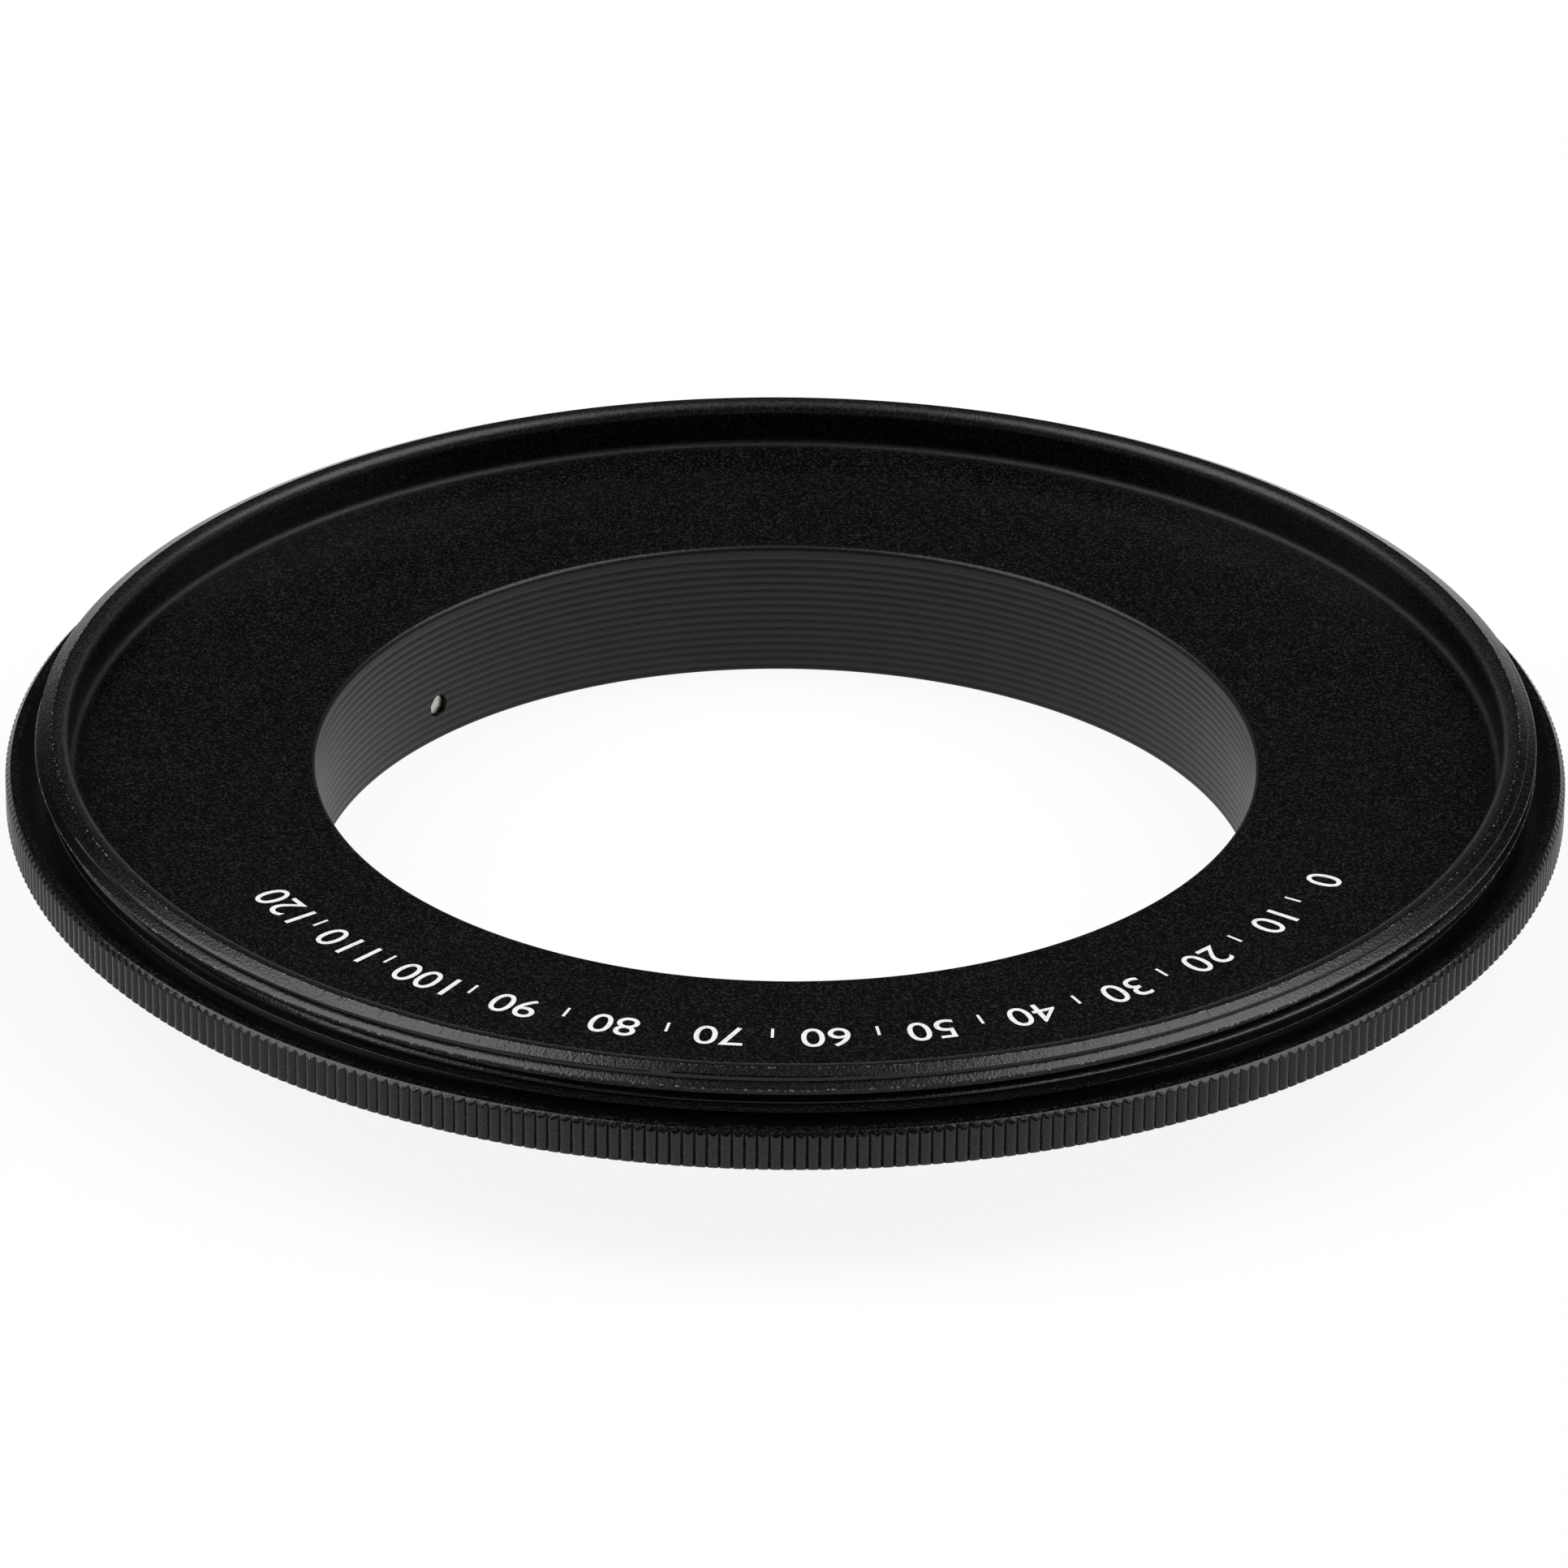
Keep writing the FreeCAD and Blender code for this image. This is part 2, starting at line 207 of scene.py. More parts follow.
class StageSizes(bpy.types.PropertyGroup):
    """Camera, lamps and floor."""

    elevation: angle("Camera elevation", 27.4881, "above the floor")
    distance: length("Camera distance", 571.3194, "from the point it looks at")
    aim_height: length("Aim height", 9.40, "height of the point it looks at")
    shift_right: length("Aim to the right", -0.0641, "sideways offset of the view")
    shift_up: length("Aim upwards", -3.324, "upward offset of the view")
    roll: angle("Camera roll", 0.5071, "about the view")
    lens: FloatProperty(name="Lens", description="focal length in millimetres",
                        default=FOCAL_PIXELS / PHOTO_WIDTH * SENSOR)
    softbox: FloatProperty(name="Softbox power", description="of each side lamp, in watts",
                           default=10.5, subtype="POWER")
    back_card: FloatProperty(name="Back card power", description="of the dim card behind",
                             default=0.09, subtype="POWER")
    floor_glow: FloatProperty(name="Floor glow", default=0.9, min=0.0, max=1.0,
                              description="share of plain white that the camera and gloss see")


# Surfaces


def unit(vectors):
    """Each vector divided by its own length."""
    return vectors / np.linalg.norm(vectors, axis=-1, keepdims=True)


def rounded(corners, radius, steps=2, closed=False):
    """A path through corners (..., n, 2), with every corner turned into an arc.

    With h half the turn at a corner, the arc's centre lies on the corner's bisector at
    radius / cos h from it, and the arc runs from -h to +h about that centre. An open path
    keeps its two end points as they are.
    """
    before = np.roll(corners, 1, axis=-2)
    after = np.roll(corners, -1, axis=-2)
    if not closed:
        before, after = before[..., 1:-1, :], after[..., 1:-1, :]
    middle = corners if closed else corners[..., 1:-1, :]
    arriving, leaving = unit(middle - before), unit(after - middle)
    half = np.arccos(np.clip((arriving * leaving).sum(-1, keepdims=True), -1, 1)) / 2
    outwards = unit(arriving - leaving)
    along = unit(arriving + leaving)
    radius = np.broadcast_to(radius, half.shape[:-1])[..., None]
    centre = middle - outwards * radius / np.cos(half)
    turn = half[..., None, :] * np.linspace(-1, 1, steps + 1)[:, None]
    arc = centre[..., None, :] + radius[..., None, :] * (
        np.cos(turn) * outwards[..., None, :] + np.sin(turn) * along[..., None, :])
    arc = arc.reshape(*corners.shape[:-2], -1, 2)
    if closed:
        return arc
    return np.concatenate([corners[..., :1, :], arc, corners[..., -1:, :]], axis=-2)


def revolve(path, angles):
    """Points (r cos t, r sin t, z) for a path of (r, z) at every angle t.

    The path is (m, 2), or (n, m, 2) with one path for each of the n angles. The points come
    back as (n, m, 3).
    """
    r, z = path[..., 0], path[..., 1]
    t = np.asarray(angles)[:, None]
    return np.stack(np.broadcast_arrays(r * np.cos(t), r * np.sin(t), z), axis=-1)


def grid_faces(columns, rows, first=0, closed_columns=True, closed_rows=False):
    """Quads of a grid whose point (column, row) is number first + column * rows + row."""
    column = np.arange(columns if closed_columns else columns - 1)[:, None]
    row = np.arange(rows if closed_rows else rows - 1)[None, :]
    next_column, next_row = (column + 1) % columns, (row + 1) % rows
    corners = (column * rows + row, next_column * rows + row,
               next_column * rows + next_row, column * rows + next_row)
    return first + np.stack(corners, axis=-1).reshape(-1, 4)


def mesh_from(name, points, *groups):
    """A smooth-shaded mesh; each group holds faces with the same number of corners."""
    mesh = bpy.data.meshes.new(name)
    faces = [face for group in groups for face in group.tolist()]
    mesh.from_pydata(points.reshape(-1, 3), [], faces)
    mesh.polygons.foreach_set("use_smooth", np.ones(len(faces), dtype=bool))
    mesh.update()
    return mesh


def swept(name, sections):
    """A closed solid through sections (columns, rows, 3), capped at both ends. Each section
    runs anticlockwise as seen from the first cap's outer side."""
    columns, rows = sections.shape[:2]
    ends = np.arange(rows)[None, :]
    return mesh_from(name, sections,
                     grid_faces(columns, rows, closed_columns=False, closed_rows=True),
                     ends, ends[:, ::-1] + (columns - 1) * rows)


def poles_merged(mesh, closed):
    """The mesh with the points that share a place made one, and the faces of a closed mesh
    turned outwards."""
    shape = bmesh.new()
    shape.from_mesh(mesh)
    bmesh.ops.remove_doubles(shape, verts=shape.verts, dist=1e-7)
    if closed:
        bmesh.ops.recalc_face_normals(shape, faces=shape.faces)
    shape.to_mesh(mesh)
    shape.free()
    return mesh


def lathe(name, path, columns):
    """A closed solid of revolution about z, whose path starts and ends on the axis."""
    angles = np.arange(columns) * 2 * pi / columns
    mesh = mesh_from(name, revolve(path, angles), grid_faces(columns, len(path)))
    return poles_merged(mesh, closed=True)


def moved(mesh, axes, origin):
    """The mesh with its x, y and z laid along three axes from an origin."""
    points = np.empty(len(mesh.vertices) * 3)
    mesh.vertices.foreach_get("co", points)
    points = points.reshape(-1, 3) @ np.asarray(axes) + np.asarray(origin)
    mesh.vertices.foreach_set("co", points.ravel())
    mesh.update()
    return mesh


def outwards_at(direction):
    """The radial, tangential and axial directions at an angle about the ring's axis."""
    return np.array([[cos(direction), sin(direction), 0],
                     [-sin(direction), cos(direction), 0],
                     [0, 0, 1]])


# Materials


class Value:
    """One output of a shader node. The operators add Math nodes and give a new Value."""

    def __init__(self, shader, node, output=0):
        self.shader, self.node = shader, node
        self.socket = node.outputs[output] if node.outputs else None

    def __getitem__(self, output):
        return Value(self.shader, self.node, output)

    def maths(self, operation, *others):
        inputs = dict(enumerate((self, *others)))
        return self.shader.node("ShaderNodeMath", {"operation": operation}, inputs)

    def __add__(self, other):
        return self.maths("ADD", other)

    def __sub__(self, other):
        return self.maths("SUBTRACT", other)

    def __mul__(self, other):
        return self.maths("MULTIPLY", other)

    def __pow__(self, other):
        return self.maths("POWER", other)

    __radd__, __rmul__ = __add__, __mul__

    def __rsub__(self, other):
        return self.shader.node("ShaderNodeMath", {"operation": "SUBTRACT"},
                                {0: other, 1: self})

    def ramp(self, low, high):
        """0 below low and 1 above high, with a smooth step between them."""
        return self.shader.node("ShaderNodeMapRange", {"interpolation_type": "SMOOTHSTEP"},
                                {"Value": self, "From Min": low, "From Max": high})


class Shader:
    """The node tree of a new material or of the world."""

    def __init__(self, owner):
        owner.use_nodes = True
        self.tree = owner.node_tree
        self.tree.nodes.clear()

    def node(self, kind, settings=None, sockets=None):
        """A node of a type: its settings first, then its sockets' values or links."""
        node = self.tree.nodes.new(kind)
        for key, setting in (settings or {}).items():
            setattr(node, key, setting)
        for key, value in (sockets or {}).items():
            if isinstance(value, Value):
                self.tree.links.new(value.socket, node.inputs[key])
            else:
                node.inputs[key].default_value = value
        return Value(self, node)

    def point(self):
        """The object's own coordinates."""
        return self.node("ShaderNodeTexCoord")["Object"]

    def mix(self, factor, low, high):
        """The colour that goes from low to high as the factor goes from 0 to 1."""
        def whole(tone):
            return tone if isinstance(tone, Value) else (*tone, 1.0)
        node = self.node("ShaderNodeMix", {"data_type": "RGBA"},
                         {0: factor, 6: whole(low), 7: whole(high)})
        return node[2]

    def noise(self, vector, scale, detail=2.0, roughness=0.5):
        return self.node("ShaderNodeTexNoise", None,
                         {"Vector": vector, "Scale": scale, "Detail": detail,
                          "Roughness": roughness})["Fac"]

    def bump(self, height, distance, strength=1.0, under=None):
        sockets = {"Height": height, "Distance": distance, "Strength": strength}
        if under is not None:
            sockets["Normal"] = under
        return self.node("ShaderNodeBump", None, sockets)

    def surface(self, **sockets):
        """The Principled surface, joined to the output."""
        named = {key.replace("_", " "): value for key, value in sockets.items()}
        surface = self.node("ShaderNodeBsdfPrincipled", None, named)
        self.node("ShaderNodeOutputMaterial", None, {"Surface": surface})


def round_the_axis(shader):
    """The object's point, its distance from the ring's axis and its height."""
    point = shader.point()
    axes = shader.node("ShaderNodeSeparateXYZ", None, {0: point})
    x, y, z = axes["X"], axes["Y"], axes["Z"]
    return point, (x * x + y * y) ** 0.5, z


def near_edge(r, z, radius, height, width):
    """1 along the circular edge at a radius and height, falling to 0 at a width from it."""
    away = (r - radius) * (r - radius) + (z - height) * (z - height)
    return 1 - (away ** 0.5).ramp(0.0, width)


def anodised(name, crest=None):
    """Blasted aluminium, anodised black: a grain of dents with paler specks painted into the
    colour as the grain's glints, strongest on the front face, the rim and the grip, and faint
    turning lines that follow radius and height. Pale dots are painted as highlights on the
    rim's edge, the shoulder's corner and, where a crest radius is given, the thread's crests.
    The bore, the inside of the rim and the hollow at its foot are duller than the rest."""
    scene = bpy.context.scene
    tone, s = scene.ring_finishes, scene.ring_turned
    material = bpy.data.materials.new(name)
    shader = Shader(material)
    point, r, z = round_the_axis(shader)
    grain = shader.noise(point, scale=6500.0, detail=1.0)
    # Paler specks: painted glints of the grain.
    speck = shader.noise(point, scale=8500.0, detail=1.0).ramp(0.46, 0.78)
    dots = shader.noise(point, scale=4800.0, roughness=0.6).ramp(0.54, 0.66)
    cloud = shader.noise(point, scale=160.0, detail=3.0)
    rings = shader.node("ShaderNodeCombineXYZ", None, {"X": r, "Y": z})
    lines = shader.noise(rings, scale=5200.0, roughness=0.6)
    # Painted highlights: pale dots along the rim's edge, the shoulder's corner and the
    # thread's crests.
    glint_width = 0.05 * MM
    front = z.ramp(s.front - 0.05 * MM, s.front) * (1 - r.ramp(s.recess, s.core))
    edges = (near_edge(r, z, s.rim_outer, s.rim, glint_width)
             + near_edge(r, z, s.core, s.shoulder, glint_width))
    if crest is not None:
        edges = edges + r.ramp(crest - 0.03 * MM, crest - 0.01 * MM)
    foot = near_edge(r, z, s.recess, s.front, 0.6 * MM)
    bore = 1 - r.ramp(s.bore + 0.1 * MM, s.bore + 0.2 * MM)
    rim = z.ramp(s.rim - 0.8 * MM, s.rim - 0.5 * MM)
    inside = rim * (1 - r.ramp(s.recess + s.rim_round, s.rim_outer))
    grip = r.ramp(s.join, s.join + 0.2 * MM)
    # Painted glints: the specks, heaviest on the front face, the grip and the rim, where the
    # lamps catch them, plus a faint random cloud of tone.
    glints_and_cloud = speck * (0.10 + 0.90 * front + 0.8 * grip + 0.9 * rim) + cloud * 0.02
    black = shader.mix(glints_and_cloud, tuple(tone.anodised), tuple(tone.anodised_glint))
    turned = shader.bump(lines, distance=0.004 * MM)
    shader.surface(
        # The base colour carries the painted highlight dots along the edges.
        Base_Color=shader.mix(edges * dots, black, tuple(tone.edge_glint)),
        Roughness=0.20 + cloud * 0.08 + foot * 0.40 + bore * 0.18 + inside * 0.14,
        Metallic=0.0, Specular_IOR_Level=0.34,
        Normal=shader.bump(grain, distance=0.014 * MM, under=turned))
    return material


def steel():
    """Bright drawn steel with fine unevenness and a few dull patches."""
    tone = bpy.context.scene.ring_finishes
    material = bpy.data.materials.new("pin_steel")
    shader = Shader(material)
    point = shader.point()
    patch = shader.noise(point, scale=1500.0, detail=3.0)
    drawn = shader.noise(point, scale=16000.0)
    shader.surface(
        Base_Color=shader.mix(patch, tuple(0.75 * part for part in tone.steel),
                              tuple(tone.steel)),
        Roughness=0.22 + patch * 0.18, Metallic=1.0,
        Normal=shader.bump(drawn, distance=0.004 * MM))
    return material


def ink():
    """White ink: a matt film, thin in places so that the grain under it shows."""
    tone = bpy.context.scene.ring_finishes
    material = bpy.data.materials.new("white_ink")
    shader = Shader(material)
    point = shader.point()
    thin = shader.noise(point, scale=7000.0, detail=3.0, roughness=0.65).ramp(0.50, 0.75)
    grain = shader.noise(point, scale=9500.0, roughness=0.6)
    shader.surface(
        Base_Color=shader.mix(thin, tuple(tone.ink), tuple(0.55 * part for part in tone.ink)),
        Roughness=0.55 + thin * 0.15,
        Normal=shader.bump(grain, distance=0.012 * MM))
    return material


def paint():
    """Red paint, dropped into the mark: glossy, with a slight unevenness."""
    tone = bpy.context.scene.ring_finishes
    material = bpy.data.materials.new("index_paint")
    shader = Shader(material)
    uneven = shader.noise(shader.point(), scale=900.0)
    shader.surface(
        Base_Color=shader.mix(uneven, tuple(0.8 * part for part in tone.paint),
                              tuple(tone.paint)),
        Roughness=0.25 + uneven * 0.15,
        Normal=shader.bump(uneven, distance=0.02 * MM))
    return material


# Pieces


def add_piece(name, mesh, material, node="ring_body"):
    """Links a finished mesh as a piece that rides with the ring."""
    mesh.materials.clear()
    mesh.materials.append(material)
    piece = bpy.data.objects.new(name, mesh)
    bpy.context.scene.collection.objects.link(piece)
    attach(piece, "root")
    if node:
        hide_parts(node)
    return piece


def even_shading(piece):
    """Large faces keep their own normals, and only the small arcs between them bend. Edges
    of more than 60 degrees, as at the bottom of the knurl's valleys, stay sharp."""
    piece.data.set_sharp_from_angle(angle=radians(60))
    modifier = piece.modifiers.new("even_shading", "WEIGHTED_NORMAL")
    modifier.mode = "FACE_AREA"
    modifier.weight = 50
    modifier.keep_sharp = True
    return piece


def v_cuts(radius, middle, width, depth, rounding):
    """Corners (r, z, rounding) of V cuts in an upright wall, three to a cut: the wall at half
    the width before its middle height, the bottom at the depth, and the wall beyond. A
    negative width lists them downwards, and a negative depth cuts towards the axis."""
    z = (middle[:, None] + np.array([-0.5, 0.0, 0.5]) * width).ravel()
    r = radius + np.tile(np.array([0.0, 1.0, 0.0]) * depth, len(middle))
    return np.column_stack([r, z, np.full(len(r), rounding)])


def bore_corners(s):
    """Corners and rounding of the bore's wall from top to bottom: a V for each groove."""
    middle = s.groove_top - np.arange(s.grooves) * s.groove_pitch
    return v_cuts(s.bore, middle, -s.groove_width, s.groove_depth, 0.4 * s.soft)


def neck_corners(s):
    """Corners and rounding of the neck's two turning lines, from the shoulder upwards."""
    middle = s.shoulder + np.array([0.44, 0.62]) * MM
    width, depth, rounding = 0.06 * MM, 0.02 * MM, 0.01 * MM
    return v_cuts(s.core, middle, width, -depth, rounding)


def cone_height(s, radius):
    """Height of the lead-in cone at a radius: it falls in a straight line from the rim's
    flat to the thread's crests."""
    crest = bpy.context.scene.ring_thread.crest
    return s.rim - (s.rim - s.lead_foot) * (radius - s.rim_outer) / (crest - s.rim_outer)


def turned_path(s):
    """The turned section (r, z), from the shoulder over the rim, down the bore and out
    again under the flange. Its two ends are where the knurled part begins.

    It is put together from stretches, each with its own number of steps to an arc, and two
    stretches meet in the middle of a straight run. Corners are (r, z, rounding).
    """
    flat = ((s.rim_outer + s.recess + s.rim_round) / 2, s.rim, 0)
    front = ((s.bore + s.recess) / 2, s.front, 0)
    share, neck_round = 0.7, 0.06 * MM
    wall = (s.bore, s.groove_top + (s.front - s.bore_round - s.groove_top) * share, 0)
    stretches = (
        (2, [(s.join, s.shoulder, 0), (s.core, s.shoulder, neck_round),
             *neck_corners(s).tolist(), (s.core, cone_height(s, s.core), s.soft / 2),
             (s.rim_outer, s.rim, s.soft), flat]),
        (8, [flat, (s.recess, s.rim, s.rim_round), (s.recess, s.front, s.foot_round), front]),
        (5, [front, (s.bore, s.front, s.bore_round), wall]),
        (2, [wall, *bore_corners(s).tolist(), (s.bore, 0.0, s.edge), (s.tube, 0.0, s.edge),
             (s.tube, s.under, s.soft), (s.seat_inner, s.under, s.soft),
             (s.seat_inner, s.seat, s.edge), (s.seat_outer, s.seat, s.edge),
             (s.seat_outer, s.under, s.soft), (s.join, s.under, 0)]))
    parts = []
    for steps, corners in stretches:
        corners = np.array(corners)
        parts.append(rounded(corners[:, :2], corners[1:-1, 2], steps)[:-1])
    return np.concatenate([*parts, [(s.join, s.under)]])


def knurl_columns(s, g):
    """Radius and angle of the knurl's columns: six to a ridge.

    A ridge is a low crown: its radius falls by crown * u * u from its middle (u = 0) to its
    edge (u = 1). Between two edges the radius falls in a straight V to the valley.
    """
    pitch = 2 * pi / g.ridges
    middle = pi * s.outside / g.ridges
    u = np.array([1.0, 0.5, 0.0, 0.5, 1.0])
    side = np.sign(np.arange(5) - 2)
    across = np.concatenate([[0.0], middle + side * u * (middle - g.valley_width / 2)])
    drop = np.concatenate([[g.valley_depth], g.crown * u * u])
    angles = (np.arange(g.ridges)[:, None] * pitch + across / s.outside).ravel()
    return s.outside - np.tile(drop, g.ridges), angles


def knurl_paths(s, g, radius):
    """One upright path for each column, out under the grip, up it and back in on top.

    The bevel on top is a 45 degree cone, and the grip is cut off where it meets the cone,
    so the border between them dips on the ridges and peaks in the valleys.
    """
    least_edge, start_under, start_above = 0.02 * MM, 0.4 * MM, 0.3 * MM
    rounding = np.array([0.015, 0.015, 0.04, 0.03]) * MM
    low = np.minimum(s.outside - s.edge, radius - least_edge)
    same = np.ones_like(radius)
    cone = s.outside - g.bevel
    corners = np.stack([
        np.stack([same * (s.join + start_under), same * s.under], -1),
        np.stack([low, same * s.under], -1),
        np.stack([radius, s.under + radius - low], -1),
        np.stack([radius, s.shoulder - (radius - cone)], -1),
        np.stack([same * cone, same * s.shoulder], -1),
        np.stack([same * (s.join + start_above), same * s.shoulder], -1)], axis=1)
    return rounded(corners, rounding)


def ring_mesh(s, g):
    """The whole ring as one closed skin.

    The turned part has one column for every two ridges, and the knurled part twelve. They
    meet on the flat shoulder and the flat under side, in faces that have two corners on the
    turned part and thirteen on the knurled one.
    """
    path = turned_path(s)
    columns = g.ridges // 2
    turned = revolve(path, np.arange(columns) * 2 * pi / columns)
    radius, angles = knurl_columns(s, g)
    knurled = revolve(knurl_paths(s, g, radius), angles)
    rows, knurl_rows = turned.shape[1], knurled.shape[1]
    first = columns * rows
    own = np.arange(columns)[:, None]
    beside = (own + 1) % columns
    outer = first + (own * 12 + np.arange(13)) % len(angles) * knurl_rows
    under = np.hstack([own * rows + rows - 1, beside * rows + rows - 1, outer[:, ::-1]])
    above = np.hstack([outer + knurl_rows - 1, beside * rows, own * rows])
    points = np.concatenate([turned.reshape(-1, 3), knurled.reshape(-1, 3)])
    return mesh_from("ring", points, grid_faces(columns, rows),
                     grid_faces(len(angles), knurl_rows, first), under, above)


def prism(name, outline, low, high):
    """A closed upright prism on an outline (n, 2) that runs anticlockwise."""
    rows = [np.column_stack([outline, np.full(len(outline), z)]) for z in (high, low)]
    return swept(name, np.stack(rows))


def capsule_outline(reach, radius, count=48):
    """Two half circles of a radius, their centres at -reach and +reach along x."""
    t = (np.arange(count) + 0.5) * 2 * pi / count
    return np.column_stack([np.sign(np.cos(t)) * reach + radius * np.cos(t),
                            radius * np.sin(t)])


def lug_mesh(m, middle, span):
    """A lug: its rounded section turned about the axis over the span. Its two end sections
    are drawn in towards their middle, so that the ends are bevelled."""
    end, edge_round, columns = 0.1 * MM, 0.06 * MM, 40
    corners = np.array([(m.lug_root, m.lug_bottom), (m.lug_radius - m.lug_ramp, m.lug_bottom),
                        (m.lug_radius, m.lug_bottom + m.lug_ramp), (m.lug_radius, m.lug_top),
                        (m.lug_root, m.lug_top)])
    section = rounded(corners, edge_round, closed=True)
    centre = np.array([m.lug_root, (m.lug_bottom + m.lug_top) / 2])
    shrink = 1 - end / (np.ptp(corners, axis=0) * [1.0, 0.5])
    inner = np.linspace(-span / 2 + end / m.lug_radius, span / 2 - end / m.lug_radius, columns)
    angles = middle + np.concatenate([[-span / 2], inner, [span / 2]])
    paths = np.repeat(section[None], len(angles), axis=0)
    paths[[0, -1]] = centre + (section - centre) * shrink
    return swept("lug", revolve(paths, angles))


def combine(mesh, cutters, additions):
    """The mesh less the cutters and with the additions, by Boolean modifiers."""
    whole = bpy.data.objects.new(mesh.name, mesh)
    bpy.context.scene.collection.objects.link(whole)
    tools = []
    for operation, meshes in (("DIFFERENCE", cutters), ("UNION", additions)):
        for other in meshes:
            tool = bpy.data.objects.new(other.name, other)
            bpy.context.scene.collection.objects.link(tool)
            modifier = whole.modifiers.new(other.name, "BOOLEAN")
            modifier.operation, modifier.solver, modifier.object = operation, "MANIFOLD", tool
            tools.append(tool)
    graph = bpy.context.evaluated_depsgraph_get()
    made = bpy.data.meshes.new_from_object(whole.evaluated_get(graph))
    for item in (whole, *tools):
        bpy.data.objects.remove(item)
    if not made.polygons:
        raise RuntimeError("the cuts left nothing of " + mesh.name)
    return made


class RING_OT_body(bpy.types.Operator):
    """Make the ring: turned section, knurl, lugs, pin hole, lock slot and index mark"""

    bl_idname = "ring.body"
    bl_label = "Ring body"

    def execute(self, context):
        scene = context.scene
        s, g, m, p = scene.ring_turned, scene.ring_grip, scene.ring_mount, scene.ring_pin
        circle, past = capsule_outline(0.0, 1.0, 40), 1 * MM
        hole = moved(prism("pin_hole", circle * (p.radius + p.play), s.bore - past,
                           m.lug_radius),
                     outwards_at(p.direction)[[1, 2, 0]], (0, 0, p.height))
        slot = moved(prism("lock_slot",
                           capsule_outline((m.slot_length - m.slot_width) / 2,
                                           m.slot_width / 2),
                           s.seat - past, s.seat + m.slot_depth),
                     outwards_at(m.slot_angle),
                     outwards_at(m.slot_angle)[0] * m.slot_centre)
        mark = moved(prism("index_mark", circle * m.index_width / 2, s.under - past,
                           s.under + m.index_depth),
                     np.eye(3), outwards_at(m.lug_centre)[0] * m.index_radius)
        lugs = [lug_mesh(m, m.lug_centre + step * radians(120), span)
                for step, span in enumerate(m.lug_spans)]
        mesh = combine(ring_mesh(s, g), (hole, slot, mark), lugs)
        even_shading(add_piece("ring", mesh, anodised("anodised_black")))
        return {"FINISHED"}


class RING_OT_thread(bpy.types.Operator):
    """Make the male filter thread's ridge round the core"""

    bl_idname = "ring.thread"
    bl_label = "Filter thread"

    def execute(self, context):
        scene = context.scene
        s, t = scene.ring_turned, scene.ring_thread
        even_shading(add_piece("filter_thread", self.ridge(s, t),
                               anodised("anodised_thread", t.crest)))
        return {"FINISHED"}

    @staticmethod
    def ridge(s, t):
        """A right-hand screw ridge: with a the angle from minus 90 degrees, its middle lies
        at the middle crest's height plus pitch * a / 2 pi. Its height over the core grows
        from nothing over the run-out, and the lead-in cone cuts it off at the front. The
        ridge's foot lies deep in the core, and what is cut off ends a skin under the cone."""
        deep, crest_round, skin = 0.06 * MM, 0.03 * MM, 0.004 * MM
        past_rim, columns = 0.2, 480
        high = t.crest - s.core
        foot = (t.pitch - t.root_flat) / 2
        side = (foot - t.crest_flat / 2) * deep / high
        corners = np.array([(-deep, -foot - side), (high, -t.crest_flat / 2),
                            (high, t.crest_flat / 2), (-deep, foot + side)])
        section = rounded(corners, crest_round, steps=3)
        flank = np.linspace(0, 1, 5)[1:-1, None]
        section = np.concatenate([section[:1], section[0] + (section[1] - section[0]) * flank,
                                  section[1:-1],
                                  section[-2] + (section[-1] - section[-2]) * flank,
                                  section[-1:]])
        last = (s.rim - t.middle_crest) / t.pitch + past_rim
        turns = np.linspace(last - t.turns, last, int(t.turns * columns))
        grow = np.clip((turns - turns[0]) / t.fade, 0, 1)[:, None]
        grow = grow * grow * (3 - 2 * grow)
        height = section[:, 0] * np.where(section[:, 0] > 0, grow, 1.0)
        z = t.middle_crest + t.pitch * turns[:, None] + section[:, 1]
        z = np.minimum(z, s.rim - skin)
        cone = s.rim_outer + ((t.crest - s.rim_outer) * (s.rim - z)
                              / (s.rim - s.lead_foot)) - skin
        r = np.minimum(s.core + height, cone)
        angles = 2 * pi * turns - pi / 2
        return swept("filter_thread", revolve(np.stack([r, z], axis=-1), angles))


class RING_OT_pin(bpy.types.Operator):
    """Make the stop pin"""

    bl_idname = "ring.pin"
    bl_label = "Stop pin"

    def execute(self, context):
        p = context.scene.ring_pin
        corners = np.array([(0, p.inner), (p.radius, p.inner), (p.radius, p.outer),
                            (0, p.outer)])
        pin = lathe("stop_pin", rounded(corners, p.bevel, steps=5), 48)
        moved(pin, outwards_at(p.direction)[[1, 2, 0]], (0, 0, p.height))
        even_shading(add_piece("stop_pin_steel", pin, steel(), "stop_pin"))
        return {"FINISHED"}


